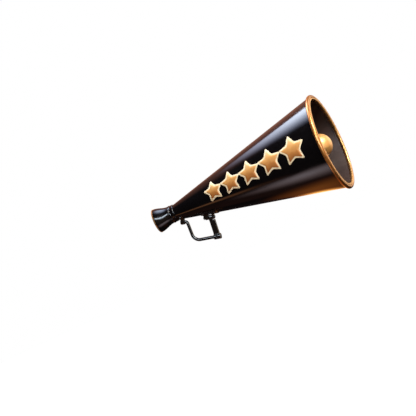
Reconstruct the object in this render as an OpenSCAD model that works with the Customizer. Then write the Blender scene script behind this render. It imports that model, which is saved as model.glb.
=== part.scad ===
// Cheer megaphone: a glossy black horn with a rolled gold bell rim, a gold ball held on
// the axis by a spider, a row of raised stars and a folding wire handle underneath.
//
// Millimetres. The horn's axis is X and the bell faces +X. The origin is the centre of
// the bell's front face. +Z is up, the handle hangs below, and the stars face -Y.

/* [Horn] */
// Outside diameter of the bell rim
bell_d = 200; // [190:1:215]
// Length of the horn shell behind the bell's front face
horn_len = 352; // [345:1:365]
// Outside radius of the shell's small end
small_r = 14.5; // [14:0.5:16]
// Wall thickness of the shell, measured across the axis
wall = 2; // [1.5:0.1:2.4]

/* [Bell rim] */
// Radius of the rim's outer roll
roll_r = 4.2; // [3.8:0.1:4.4]
// Radius of the rim's inner roll
lip_r = 2.4; // [2.2:0.1:2.8]
// Sheet thickness of the rolled rim
rim_sheet = 1; // [0.8:0.1:1.2]

/* [Mouthpiece] */
// Radius of the straight throat bore
throat_r = 11; // [10:0.1:11.2]
// Length of the mouthpiece behind the horn shell
cup_len = 36; // [30:1:44]
// Outside radius of the mouthpiece's cup
cup_r = 24; // [22:0.5:28]

/* [Ball] */
// Radius of the gold ball
ball_r = 24.5; // [20:0.5:25]
// Gap between the ball and the plane of the bell's face
ball_inset = 1; // [1:0.5:8]
// Wall thickness of the ball's shells
ball_wall = 1; // [0.8:0.1:1.5]

/* [Spider] */
// Distance of the spider's front edge behind the bell's face
spider_back = 97; // [92:1:120]
// Length of the spider's hub and band
spider_len = 13; // [10:1:16]
// Number of arms
arm_count = 3; // [3:1:5]

/* [Stars] */
// Width of the star nearest the mouthpiece, over its border
first_star_w = 37; // [30:1:38]
// How much wider each next star is
star_growth = 4; // [3:0.2:4.4]
// Space between neighbouring stars
star_gap = 2; // [2:0.5:3]
// Distance of the row's bell end behind the bell's face
row_back = 35; // [30:1:40]
// How far the row is turned up from the horn's side, in degrees
row_turn = 11; // [6:1:15]
// Width of the pale border around each star
border_w = 3.2; // [2:0.2:3.4]
// Thickness of each of a star's two layers
layer_t = 0.7; // [0.5:0.1:1.2]

/* [Handle] */
// Diameter of the handle's wire
wire_d = 6.5; // [5.5:0.5:7]
// Depth of the loop, from the horn's underside to the wire's centre
loop_depth = 46.5; // [42:0.5:55]
// Distance of the wire's rear leg behind the bell's face
rear_leg_back = 330; // [322:1:330]
// Lean of the rear leg towards the bell, in degrees
leg_lean = 10; // [5:1:14]
// Width of the front arm along the horn
arm_w = 11.4; // [10:0.2:12]
// Thickness of the front arm across the horn
arm_t = 7; // [6:0.5:7]

/* [Hidden] */
$fn = 96;

fit_gap = 0.05;      // clearance of a glued or pushed joint
run_gap = 0.06;      // radial clearance of a turning joint
press_gap = 0.01;    // radial clearance of a pressed pin
eps = 0.5;           // how far a cutter runs past the face that it cuts

// Horn shell
shell_tuck = 3;                         // how far inside the rim the shell's edge stands
shell_front = -shell_tuck;
shell_back = -horn_len;
shell_r = bell_d / 2 - shell_tuck;      // the shell's outside radius at its bell end
slope = (shell_r - small_r) / (horn_len + shell_front);
horn_a = atan(slope);                   // half-angle of the horn
wall_r = wall / cos(horn_a);            // wall thickness measured square to the axis
function shell_r_at(x) = shell_r + slope * (x - shell_front);

// Bell rim
face_trim = 0.2;                        // depth of the flat on the rolls' front
lip_step = 3.6;                         // from the outer roll's centre to the inner one's
roll_c = [bell_d / 2 - roll_r, face_trim - roll_r];
lip_c = [roll_c[0] - lip_step, face_trim - lip_r];
slot_front = -2.2;                      // how far the shell's edge may reach into the roll
slot_back = roll_c[1] - roll_r - eps;
rim_reach = 20;                         // larger than the rim's section both ways

// Mouthpiece, measured along X
sleeve_lap = 5;                         // how far the sleeve covers the shell
sleeve_t = 1.6;
sleeve_edge = 0.8;                      // chamfer of the sleeve's front edge
bore_len = 16;
cup_front = shell_back - 6;             // where the cup's swell ends
cup_lip_w = 4.5;
cup_steps = 12;
sleeve_front = shell_back + sleeve_lap;
bore_back = shell_back - bore_len;
lip_x = shell_back - cup_len;
cup_in_r = cup_r - cup_lip_w;
lip_mid_r = cup_r - cup_lip_w / 2;
bead_out = 0.6;                         // how far the mouth ring stands out past the lip
bead_r = cup_lip_w / 2 + bead_out;
tongue_half = 0.6;
tongue_depth = 2;
tongue_clear = 0.2;

// Ball and stem
ball_x = -ball_inset - ball_r;
boss_r = 5;
boss_collar_r = 7.5;
collar_out = 1.4;                       // how far the boss's collar stands behind the ball
collar_in = 1.5;
boss_end_t = 1;                         // thickness of the boss's closed front end
boss_back = ball_x - ball_r - collar_out;
boss_front = ball_x - 12;
seam_lip_t = 1.1;                       // the rear shell's lip inside the front shell
seam_lip_back = 3.2;
seam_lip_front = 2;
seam_gap = 0.2;
stem_r = 3;
stem_clear = 1;                         // from the stem's end to the end of its bore
stem_tail = 3;                          // how far the stem stands out of its rear nut
nut_af = 10;
nut_t = 5;
washer_t = 1;
washer_r = 6.5;
hub_r = 9;
band_t = 2.4;
spoke_t = 3;
spoke_inset = 1.5;                      // how much narrower a spoke is at each edge
spoke_sink = 1;                         // how far short of the shell a spoke ends
hub_front = -spider_back;
hub_back = hub_front - spider_len;
stem_front = boss_front - boss_end_t - stem_clear;
stem_back = hub_back - washer_t - nut_t - stem_tail;

// Stars
star_count = 5;
star_waist = 0.54;                      // notch radius over tip radius
tip_angle = 72;
tip_cut = 1.3;                          // how much further in a face's blunt tips stand
function star_w(i) = first_star_w + star_growth * i;
function star_w_sum(i) = i < 0 ? 0 : star_w(i) + star_w_sum(i - 1);
row_len = star_w_sum(star_count - 1) + star_gap * (star_count - 1);
function star_x(i) = -row_back - row_len + star_w_sum(i - 1) + star_gap * i + star_w(i) / 2;
function tip_r(i) = star_w(i) / 2 / sin(tip_angle);

// Handle, in the frame of the horn's underside: X runs along the underside towards the
// bell from the wire's rear leg, and -Z points away from the horn
leg_x = -rear_leg_back;
hinge_z = -6.5;
ear_r = 4.6;
knuckle_r = 4.4;
pin_r = 2;
wire_r = wire_d / 2;
pintle_r = 2.5;
pintle_back = -15.5;
bend_start = -6.5;
bend_thin = 0.06;                       // how much the wire's radius shrinks in a bend
bend_lap = 0.2;                         // how far a straight stretch runs into a bend
hinge_bend_r = 5;
loop_bend_r = 15;
plate_t = 1.5;
saddle_room = [leg_x - 40, leg_x + 90]; // a stretch of the horn longer than the saddles
ear_top = 3;
rear_plate = [-14.2, -7];               // the rear bracket's ends
front_plate = [30, 64.5];               // the front bracket's ends
rear_ear = [31, 42.6];
front_ear = [50.4, 54.4];
knuckle = [42.8, 50.2];
rear_ear_slope = [5, -20, 8];           // height, depth and lean of the rear ear's edge
arm_top = -11.8;
arm_clear = 0.2;                        // from the knuckle's face to the lever's edge
arm_shift = 4;                          // how far the arm's foot stands forward of its top
socket_r = 5.6;
socket = [45.5, 60];
wire_end = 55;
arm_pin_r = 1.25;
arm_pin_x = 51.5;
cross_bore = 20;                        // longer than the socket is wide
pin_tail = 0.7;                         // how far the hinge pin stands out of its clip
pin_nose = 0.5;
pin_head_r = 3.2;
pin_head_t = 1.25;
clip_t = 1;
clip_x = 32.5;                          // just clear of the rear ear's leaning edge
pin_clip_r = 3.4;
wire_clip_r = 3.8;

// Rivets: [distance along the underside, angle round the horn, head radius]
rivet_r = 1.6;
rivet_head_t = 1.8;
burr_t = 0.8;                           // thickness of the washer on a rivet's tail
burr_gap = 0.4;                         // room for the shell's curve under that washer
tail_t = 1;
tail_r = [2.3, 1.9];                    // the closed tail's radius at its ends
front_rivet_places = [[35.5, 32], [60, 27]];
rear_rivet_places = [[-10.6, 42]];
front_rivet_head = 3.1;
rear_rivet_head = 2.6;
front_burr_r = 3.2;
rear_burr_r = 2.8;

// Turns a solid drawn round +Z so that its axis runs along +X.
module along_x() {
    rotate([0, 90, 0]) children();
}

// Revolves an outline of [radius, x] round the horn's axis.
module lathe() {
    along_x() rotate_extrude() children();
}

// A ring round the axis between two radii and two places.
module ring(r_in, r_out, x1, x2) {
    along_x() translate([0, 0, x1]) difference() {
        cylinder(r = r_out, h = x2 - x1);
        translate([0, 0, -eps]) cylinder(r = r_in, h = x2 - x1 + 2 * eps);
    }
}

// The horn's cone as a solid, off mm larger in radius than the shell's outside.
module cone(off, x1 = shell_back, x2 = shell_front) {
    along_x() translate([0, 0, x1])
        cylinder(r1 = shell_r_at(x1) + off, r2 = shell_r_at(x2) + off, h = x2 - x1);
}

// The layer between two offsets from the shell's outside.
module cone_layer(low, high, x1 = shell_back, x2 = shell_front) {
    difference() {
        cone(high, x1, x2);
        cone(low, x1 - eps, x2 + eps);
    }
}

// Places children in the frame of the horn's underside, turned by turn round the axis.
module underside(turn = 0) {
    rotate([turn, 0, 0]) translate([leg_x, 0, -shell_r_at(leg_x)])
        rotate([0, horn_a, 0]) children();
}

// A block between two corners.
module block(low, high) {
    translate(low) cube(high - low);
}

// A rod along the underside's X.
module rod_x(r, x1, x2, z = hinge_z) {
    translate([x1, 0, z]) along_x() cylinder(r = r, h = x2 - x1);
}

// Children at each rivet of a list, on both sides of the underside.
module at_rivets(places) {
    for (p = places, side = [-1, 1])
        underside(side * p[1]) translate([p[0], 0, 0]) children();
}

module rivet_holes(places) {
    at_rivets(places) translate([0, 0, -plate_t - 2])
        cylinder(r = rivet_r + fit_gap, h = wall + plate_t + 4, $fn = 48);
}

// A domed rivet: its head lies on the plate and its tail is closed over the washer.
module rivet(head_r) {
    seat = -plate_t - fit_gap;
    tail = wall + burr_gap + burr_t;
    translate([0, 0, seat]) cylinder(r = rivet_r, h = tail + tail_t - seat, $fn = 48);
    dome_r = (head_r * head_r + rivet_head_t * rivet_head_t) / (2 * rivet_head_t);
    translate([0, 0, seat]) mirror([0, 0, 1]) intersection() {
        translate([0, 0, rivet_head_t - dome_r]) sphere(r = dome_r, $fn = 64);
        cylinder(r = head_r, h = rivet_head_t + eps, $fn = 48);
    }
    translate([0, 0, tail + fit_gap]) cylinder(r1 = tail_r[0], r2 = tail_r[1], h = tail_t, $fn = 48);
}

module rivet_washer(outer_r) {
    translate([0, 0, wall + burr_gap]) difference() {
        cylinder(r = outer_r, h = burr_t, $fn = 48);
        translate([0, 0, -eps]) cylinder(r = rivet_r + fit_gap, h = burr_t + 2 * eps, $fn = 48);
    }
}

module horn_shell() {
    color("#0c0b0d") difference() {
        cone_layer(-wall_r, 0);
        rivet_holes(front_rivet_places);
        rivet_holes(rear_rivet_places);
    }
}

// Two hollow rolls of sheet, open at the back for the shell's edge.
module bell_rim() {
    color("#d9a04a") lathe() intersection() {
        difference() {
            union() {
                translate(roll_c) circle(r = roll_r);
                translate(lip_c) circle(r = lip_r);
            }
            translate(roll_c) circle(r = roll_r - rim_sheet);
            translate(lip_c) circle(r = lip_r - rim_sheet);
            polygon([
                for (p = [[slot_front, 0], [slot_back, 0],
                          [slot_back, -wall_r], [slot_front, -wall_r]])
                    [shell_r_at(p[0]) + p[1] + (p[1] < 0 ? -fit_gap : fit_gap), p[0]]
            ]);
        }
        translate([shell_r - rim_reach, -rim_reach]) square([2 * rim_reach, rim_reach]);
    }
}

// The cup's outline swells from the sleeve to the lip along a cosine curve.
function ease(t) = (1 - cos(180 * t)) / 2;

module mouthpiece() {
    sleeve_r = shell_r_at(sleeve_front) + sleeve_t;
    color("#141214") difference() {
        lathe() polygon(concat(
            [[throat_r, shell_back - fit_gap], [throat_r, bore_back]],
            [for (i = [1:cup_steps])
                [throat_r + (cup_in_r - throat_r) * ease(i / cup_steps),
                 bore_back + (lip_x - bore_back) * i / cup_steps]],
            [for (i = [0:cup_steps])
                [cup_r - (cup_r - sleeve_r) * ease(i / cup_steps),
                 lip_x + (cup_front - lip_x) * i / cup_steps]],
            [[sleeve_r, sleeve_front - sleeve_edge], [sleeve_r - sleeve_edge, sleeve_front],
             [shell_r_at(sleeve_front) + fit_gap, sleeve_front],
             [shell_r_at(shell_back) + fit_gap, shell_back - fit_gap]]
        ));
        ring(lip_mid_r - tongue_half - fit_gap, lip_mid_r + tongue_half + fit_gap,
             lip_x - eps, lip_x + tongue_depth + tongue_clear);
    }
}

// A half-round bead with a tongue that locates it in the lip.
module mouth_ring() {
    color("#d9a04a") lathe() {
        intersection() {
            translate([lip_mid_r, lip_x]) circle(r = bead_r);
            translate([lip_mid_r - bead_r - eps, lip_x - bead_r - eps])
                square([2 * (bead_r + eps), bead_r + eps]);
        }
        translate([lip_mid_r - tongue_half, lip_x - eps])
            square([2 * tongue_half, tongue_depth + eps]);
    }
}

// A five-pointed star that stands on two tips and is swept along Y. Growing it by grow
// keeps its edges parallel, and its tips are cut to a radius of cut_r.
module star_prism(tip, grow, cut_r) {
    edge = tip * sqrt(1 + star_waist * star_waist - 2 * star_waist * cos(tip_angle / 2));
    inset = tip * tip * star_waist * sin(tip_angle / 2) / edge;
    k = tip * (1 + grow / inset);
    rotate([90, 0, 0]) linear_extrude(height = bell_d) intersection() {
        polygon([for (i = [0:9])
            (i % 2 == 0 ? k : k * star_waist)
                * [cos(90 + i * tip_angle / 2), sin(90 + i * tip_angle / 2)]]);
        circle(r = cut_r);
    }
}

// One layer of star i, wrapped on the shell between two heights.
module star_layer(i, inset, low, high) {
    tip = tip_r(i) - border_w;
    intersection() {
        cone_layer(low, high, star_x(i) - star_w(i) / 2 - 1, star_x(i) + star_w(i) / 2 + 1);
        rotate([-row_turn, 0, 0]) translate([star_x(i), 0, 0])
            star_prism(tip, border_w - inset, tip_r(i) - tip_cut * inset);
    }
}

module star_border(i) {
    color("#fff3d2") star_layer(i, 0, fit_gap, fit_gap + layer_t);
}

module star_face(i) {
    color("#d99a48") star_layer(i, border_w, 2 * fit_gap + layer_t, 2 * fit_gap + 2 * layer_t);
}

module spider() {
    color("#1b191b") difference() {
        union() {
            cone_layer(-wall_r - band_t, -wall_r - fit_gap, hub_back, hub_front);
            intersection() {
                cone(-wall_r - spoke_sink, hub_back, hub_front);
                for (i = [0:arm_count - 1]) rotate([i * 360 / arm_count, 0, 0])
                    block([hub_back + spoke_inset, -spoke_t / 2, 0],
                          [hub_front - spoke_inset, spoke_t / 2, bell_d / 2]);
            }
            ring(stem_r, hub_r, hub_back, hub_front);
        }
        ring(0, stem_r + fit_gap, hub_back - eps, hub_front + eps);
    }
}

module stem() {
    color("#c9c9c9") along_x() translate([0, 0, stem_back])
        cylinder(r = stem_r, h = stem_front - stem_back);
}

module hex_nut(x) {
    along_x() translate([0, 0, x]) difference() {
        cylinder(r = nut_af / 2 / cos(30), h = nut_t, $fn = 6);
        translate([0, 0, -eps]) cylinder(r = stem_r + fit_gap, h = nut_t + 2 * eps);
    }
}

// One nut on each side of the hub and one that locks the ball.
module stem_nuts() {
    color("#c79a4a") {
        hex_nut(hub_back - washer_t - nut_t - fit_gap);
        hex_nut(hub_front + washer_t + fit_gap);
        hex_nut(boss_back - nut_t - fit_gap);
    }
}

module hub_washers() {
    color("#c9c9c9") {
        ring(stem_r + fit_gap, washer_r, hub_back - washer_t, hub_back);
        ring(stem_r + fit_gap, washer_r, hub_front, hub_front + washer_t);
    }
}

module half_ball(side) {
    translate([ball_x, 0, 0]) intersection() {
        difference() {
            sphere(r = ball_r);
            sphere(r = ball_r - ball_wall);
        }
        translate([side > 0 ? 0 : -bell_d, -bell_d / 2, -bell_d / 2]) cube(bell_d);
    }
}

module ball_front_shell() {
    color("#e0a94f") half_ball(1);
}

// The rear half carries the lip that fits inside the front half.
module ball_rear_shell() {
    in_r = ball_r - ball_wall;
    color("#e0a94f") difference() {
        union() {
            half_ball(-1);
            translate([ball_x, 0, 0]) lathe() polygon([
                [in_r - seam_lip_t, -seam_lip_back], [in_r + seam_gap, -seam_lip_back],
                [in_r + seam_gap, 0], [in_r - seam_gap, 0],
                [in_r - seam_gap, seam_lip_front], [in_r - seam_lip_t, seam_lip_front]
            ]);
        }
        ring(0, boss_r + fit_gap, ball_x - ball_r - eps, ball_x - ball_r / 2);
    }
}

module ball_boss() {
    color("#c79a4a") difference() {
        union() {
            ring(stem_r, boss_r, boss_back, boss_front);
            difference() {
                ring(stem_r, boss_collar_r, boss_back, ball_x - ball_r + collar_in);
                translate([ball_x, 0, 0]) sphere(r = ball_r + fit_gap);
            }
        }
        ring(0, stem_r + fit_gap, boss_back - eps, boss_front - boss_end_t);
    }
}

// A plate that wraps the underside between two places, reach degrees each way.
module saddle(ends, reach) {
    intersection() {
        cone_layer(fit_gap / 2, plate_t / cos(horn_a), saddle_room[0], saddle_room[1]);
        underside() block([ends[0], -bell_d, -bell_d], [ends[1], bell_d, bell_d / 4]);
        translate([saddle_room[0], 0, 0]) rotate([90, 0, 90])
            linear_extrude(height = saddle_room[1] - saddle_room[0]) polygon([
                [0, 0], [-bell_d * tan(reach), -bell_d], [bell_d * tan(reach), -bell_d]
            ]);
    }
}

// An ear round the hinge's axis, reaching up into the saddle.
module ear(x1, x2, r) {
    rod_x(r, x1, x2);
    block([x1, -r, hinge_z], [x2, r, ear_top]);
}

module front_bracket() {
    color("#0c0b0d") difference() {
        union() {
            saddle(front_plate, 42);
            underside() {
                intersection() {
                    ear(rear_ear[0], rear_ear[1], ear_r);
                    rotate([90, 0, 0]) translate([0, 0, -2 * ear_r])
                        linear_extrude(height = 4 * ear_r) polygon([
                            [rear_ear[0], rear_ear_slope[0]], [rear_ear[1], rear_ear_slope[0]],
                            [rear_ear[1], rear_ear_slope[1]],
                            [rear_ear[0] + rear_ear_slope[2], rear_ear_slope[1]]
                        ]);
                }
                ear(front_ear[0], front_ear[1], ear_r);
            }
        }
        cone(fit_gap / 2, saddle_room[0] - eps, saddle_room[1] + eps);
        underside() rod_x(pin_r + press_gap, rear_ear[0] - eps, front_ear[1] + eps);
        rivet_holes(front_rivet_places);
    }
}

module rear_bracket() {
    color("#0c0b0d") difference() {
        union() {
            saddle(rear_plate, 62);
            underside() ear(rear_plate[0], rear_plate[1], ear_r);
        }
        cone(fit_gap / 2, saddle_room[0] - eps, saddle_room[1] + eps);
        underside() rod_x(pintle_r + run_gap, rear_plate[0] - eps, rear_plate[1] + eps);
        rivet_holes(rear_rivet_places);
    }
}

module front_rivets() {
    color("#0c0b0d") at_rivets(front_rivet_places) rivet(front_rivet_head);
}

module front_rivet_washers() {
    color("#c9c9c9") at_rivets(front_rivet_places) rivet_washer(front_burr_r);
}

module rear_rivets() {
    color("#0c0b0d") at_rivets(rear_rivet_places) rivet(rear_rivet_head);
}

module rear_rivet_washers() {
    color("#c9c9c9") at_rivets(rear_rivet_places) rivet_washer(rear_burr_r);
}

// A headed pin, pressed into the front bracket's ears.
module hinge_pin() {
    color("#17181a") underside() {
        rod_x(pin_r, clip_x - pin_tail, front_ear[1] + pin_nose);
        rod_x(pin_head_r, front_ear[1] + fit_gap, front_ear[1] + fit_gap + pin_head_t);
    }
}

module clip(x, bore_r, outer_r) {
    difference() {
        rod_x(outer_r, x, x + clip_t);
        rod_x(bore_r + press_gap, x - eps, x + clip_t + eps);
    }
}

module pin_clip() {
    color("#17181a") underside() clip(clip_x, pin_r, pin_clip_r);
}

// The hole for the cross pin, through the arm's socket and the wire's end.
module cross_hole() {
    translate([arm_pin_x, cross_bore / 2, -loop_depth]) rotate([90, 0, 0])
        cylinder(r = arm_pin_r + fit_gap, h = cross_bore, $fn = 48);
}

// The front leg of the handle: a knuckle, a straight lever and a socket for the wire.
module handle_arm() {
    foot_z = -loop_depth;
    left = knuckle[0] + arm_clear;
    color("#0c0b0d") underside() difference() {
        union() {
            rod_x(knuckle_r, knuckle[0], knuckle[1]);
            block([knuckle[0], -arm_t / 2, arm_top - 1], [knuckle[1], arm_t / 2, hinge_z]);
            translate([0, arm_t / 2, 0]) rotate([90, 0, 0]) linear_extrude(height = arm_t)
                polygon([[left, arm_top], [left + arm_w, arm_top],
                         [left + arm_w + arm_shift, foot_z], [left + arm_shift, foot_z]]);
            rod_x(socket_r, socket[0], socket[1], foot_z);
        }
        rod_x(pin_r + run_gap, knuckle[0] - eps, knuckle[1] + eps);
        rod_x(wire_r + fit_gap, socket[0] - eps, wire_end + fit_gap, foot_z);
        cross_hole();
    }
}

// A bend of the wire that starts at the origin along +X and turns towards -Z by angle.
module bend(r, angle) {
    translate([0, 0, -r]) rotate([-90, 0, 0]) rotate([0, 0, -90])
        rotate_extrude(angle = angle) translate([r, 0]) circle(r = wire_r - bend_thin);
}

// The wire: a thin pintle in the rear bracket, a bend, the leaning rear leg, a wide
// bend and the straight grip that ends in the arm's socket.
module handle_wire() {
    turn = 90 - leg_lean;
    leg_top = [bend_start + hinge_bend_r * sin(turn), hinge_z - hinge_bend_r * (1 - cos(turn))];
    leg_foot_z = -loop_depth + loop_bend_r * (1 - cos(turn));
    leg_len = (leg_top[1] - leg_foot_z) / cos(leg_lean);
    leg_foot_x = leg_top[0] + leg_len * sin(leg_lean);
    grip_x = leg_foot_x + loop_bend_r * sin(turn);
    color("#17181a") underside() difference() {
        union() {
            rod_x(pintle_r, pintle_back, bend_start + bend_lap);
            translate([bend_start, 0, hinge_z]) bend(hinge_bend_r, turn);
            translate([leg_top[0], 0, leg_top[1]]) rotate([0, 180 - leg_lean, 0])
                translate([0, 0, -bend_lap]) cylinder(r = wire_r, h = leg_len + 2 * bend_lap);
            translate([grip_x, 0, -loop_depth]) rotate([0, 180, 0]) bend(loop_bend_r, turn);
            rod_x(wire_r, grip_x - bend_lap, wire_end, -loop_depth);
        }
        cross_hole();
    }
}

// The cross pin that holds the wire in the arm's socket.
module arm_pin() {
    color("#17181a") underside() translate([arm_pin_x, socket_r, -loop_depth])
        rotate([90, 0, 0]) cylinder(r = arm_pin_r, h = 2 * socket_r, $fn = 48);
}

module wire_clip() {
    color("#17181a") underside() clip(pintle_back, pintle_r, wire_clip_r);
}

horn_shell();
bell_rim();
mouthpiece();
mouth_ring();
for (i = [0:star_count - 1]) {
    star_border(i);
    star_face(i);
}
spider();
stem();
stem_nuts();
hub_washers();
ball_front_shell();
ball_rear_shell();
ball_boss();
front_bracket();
front_rivets();
front_rivet_washers();
rear_bracket();
rear_rivets();
rear_rivet_washers();
hinge_pin();
pin_clip();
handle_arm();
handle_wire();
arm_pin();
wire_clip();
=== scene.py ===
"""The cheer megaphone's looks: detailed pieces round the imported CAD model, their
materials, a pale studio and the camera. Metres, in the CAD model's frame: +X out of the
bell, +Z up, stars on the -Y side and the handle hanging below."""

import math
from itertools import accumulate

import bmesh
import bpy
from mathutils import Matrix, Quaternion, Vector


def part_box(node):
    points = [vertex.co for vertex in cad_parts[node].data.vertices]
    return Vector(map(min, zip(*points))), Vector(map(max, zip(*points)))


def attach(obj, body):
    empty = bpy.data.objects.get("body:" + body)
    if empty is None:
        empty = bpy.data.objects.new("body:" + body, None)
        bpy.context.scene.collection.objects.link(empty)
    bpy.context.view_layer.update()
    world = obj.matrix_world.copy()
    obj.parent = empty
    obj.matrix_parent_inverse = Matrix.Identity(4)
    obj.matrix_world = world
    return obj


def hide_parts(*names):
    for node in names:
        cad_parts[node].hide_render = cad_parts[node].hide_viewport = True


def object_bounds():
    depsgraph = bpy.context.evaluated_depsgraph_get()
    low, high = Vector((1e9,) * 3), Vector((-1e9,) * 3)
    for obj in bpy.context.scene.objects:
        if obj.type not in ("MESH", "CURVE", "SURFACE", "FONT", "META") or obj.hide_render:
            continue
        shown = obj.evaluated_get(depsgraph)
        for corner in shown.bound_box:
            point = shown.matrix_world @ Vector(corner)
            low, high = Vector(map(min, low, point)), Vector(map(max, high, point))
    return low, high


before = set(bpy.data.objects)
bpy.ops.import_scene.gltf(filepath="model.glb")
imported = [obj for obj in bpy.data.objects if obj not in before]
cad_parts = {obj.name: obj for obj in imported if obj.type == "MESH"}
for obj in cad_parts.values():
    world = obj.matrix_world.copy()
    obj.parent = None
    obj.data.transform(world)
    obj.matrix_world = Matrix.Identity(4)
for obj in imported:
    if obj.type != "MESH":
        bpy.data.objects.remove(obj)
cad_lo, cad_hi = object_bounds()

MM = 0.001
TAU = 2 * math.pi


# ---------------------------------------------------------------- sizes from the frame

shell_lo, shell_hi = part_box("horn_shell")
rim_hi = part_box("bell_rim")[1]
cup_lo, cup_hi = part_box("mouthpiece")
ring_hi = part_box("mouth_ring")[1]
spider_lo, spider_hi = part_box("spider")
stem_lo, stem_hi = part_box("stem")
front_ball_lo, front_ball_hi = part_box("ball_front_shell")

SHELL_FRONT, SHELL_BACK = shell_hi.x, shell_lo.x
BELL_R = shell_hi.z                     # the shell's outside radius at its bell end
SMALL_R = 14.5 * MM                     # and at its small end
WALL = 2.05 * MM                        # wall thickness square to the axis
FIT_GAP = 0.05 * MM                     # between solids that touch on the real thing
STEM_BORE = 3.05 * MM                   # radius of the bores that the stem runs through
TAPER = (BELL_R - SMALL_R) / (SHELL_FRONT - SHELL_BACK)
HORN_ANGLE = math.atan(TAPER)
BALL_X, BALL_R = front_ball_lo.x, front_ball_hi.z


def shell_r(x):
    """The radius of the shell's outside at x."""
    return BELL_R + TAPER * (x - SHELL_FRONT)


# ------------------------------------------------------------------------ mesh helpers

def mesh_object(name, verts, faces, sharp_angle=40):
    """A smooth-shaded object whose edges above sharp_angle stay sharp."""
    mesh = bpy.data.meshes.new(name)
    mesh.from_pydata([tuple(v) for v in verts], [], faces)
    bm = bmesh.new()
    bm.from_mesh(mesh)
    bmesh.ops.remove_doubles(bm, verts=bm.verts, dist=1e-7)
    bmesh.ops.recalc_face_normals(bm, faces=bm.faces)
    bm.to_mesh(mesh)
    bm.free()
    smooth(mesh, sharp_angle)
    obj = bpy.data.objects.new(name, mesh)
    bpy.context.collection.objects.link(obj)
    return obj


def smooth(mesh, sharp_angle):
    mesh.polygons.foreach_set("use_smooth", [True] * len(mesh.polygons))
    mesh.set_sharp_from_angle(angle=math.radians(sharp_angle))
    mesh.update()


def grid_faces(rows, across, closed=False):
    """Four-sided faces between rows of points. Each row is a loop, and where closed is set
    the last row joins the first."""
    return [
        (j * across + i, j * across + (i + 1) % across,
         (j + 1) % rows * across + (i + 1) % across, (j + 1) % rows * across + i)
        for j in range(rows if closed else rows - 1) for i in range(across)
    ]


def cap_faces(rows, across):
    """A face over the first row and one over the last."""
    last = (rows - 1) * across
    return [tuple(range(across)), tuple(last + i for i in range(across))]


def arc(centre, radius, start, end, steps):
    """Points of (radius, x) on an arc, with angles in degrees from +radius towards +x."""
    cr, cx = centre
    angles = [math.radians(start + (end - start) * i / steps) for i in range(steps + 1)]
    return [(cr + radius * math.cos(a), cx + radius * math.sin(a)) for a in angles]


def lathe(name, outline, turns=256, sharp_angle=40):
    """Revolves a closed outline of (radius, x) points round the horn's axis."""
    verts = [
        (x, -r * math.cos(TAU * k / turns), r * math.sin(TAU * k / turns))
        for k in range(turns) for r, x in outline
    ]
    return mesh_object(name, verts, grid_faces(turns, len(outline), closed=True), sharp_angle)


def tube(name, path, radii, sides=32):
    """Sweeps a circle along a path in the XZ plane, with a cap at each end."""
    verts = []
    for i, point in enumerate(path):
        ahead = path[min(i + 1, len(path) - 1)] - path[max(i - 1, 0)]
        along = ahead.normalized()
        across = Vector((0, 1, 0))
        normal = along.cross(across)
        for k in range(sides):
            a = TAU * k / sides
            verts.append(point + radii[i] * (math.cos(a) * across + math.sin(a) * normal))
    faces = grid_faces(len(path), sides) + cap_faces(len(path), sides)
    return mesh_object(name, verts, faces, 50)


def cast(name, node, voxel, passes):
    """A copy of a CAD node with its edges blended, as on a casting or a pressed plate."""
    obj = bpy.data.objects.new(name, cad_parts[node].data.copy())
    obj.data.name = name
    bpy.context.collection.objects.link(obj)
    remesh = obj.modifiers.new("blend", "REMESH")
    remesh.mode = "VOXEL"
    remesh.voxel_size = voxel
    relax = obj.modifiers.new("relax", "SMOOTH")
    relax.factor = 0.5
    relax.iterations = passes
    apply_modifiers(obj)
    smooth(obj.data, 60)
    return obj


def apply_modifiers(obj):
    """Puts the result of an object's modifiers in its mesh."""
    graph = bpy.context.evaluated_depsgraph_get()
    made = bpy.data.meshes.new_from_object(obj.evaluated_get(graph))
    obj.modifiers.clear()
    obj.data = made


def ease(t):
    """Goes from 0 to 1 along a cosine curve."""
    return (1 - math.cos(math.pi * t)) / 2


# ------------------------------------------------------------------- material building

def add_node(tree, kind, inputs=(), **settings):
    """A new node. An input that is given another node's output is linked to it."""
    made = tree.nodes.new(kind)
    for key, value in settings.items():
        setattr(made, key, value)
    for socket, value in dict(inputs).items():
        if isinstance(value, bpy.types.NodeSocket):
            tree.links.new(value, made.inputs[socket])
        else:
            made.inputs[socket].default_value = value
    return made


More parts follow.
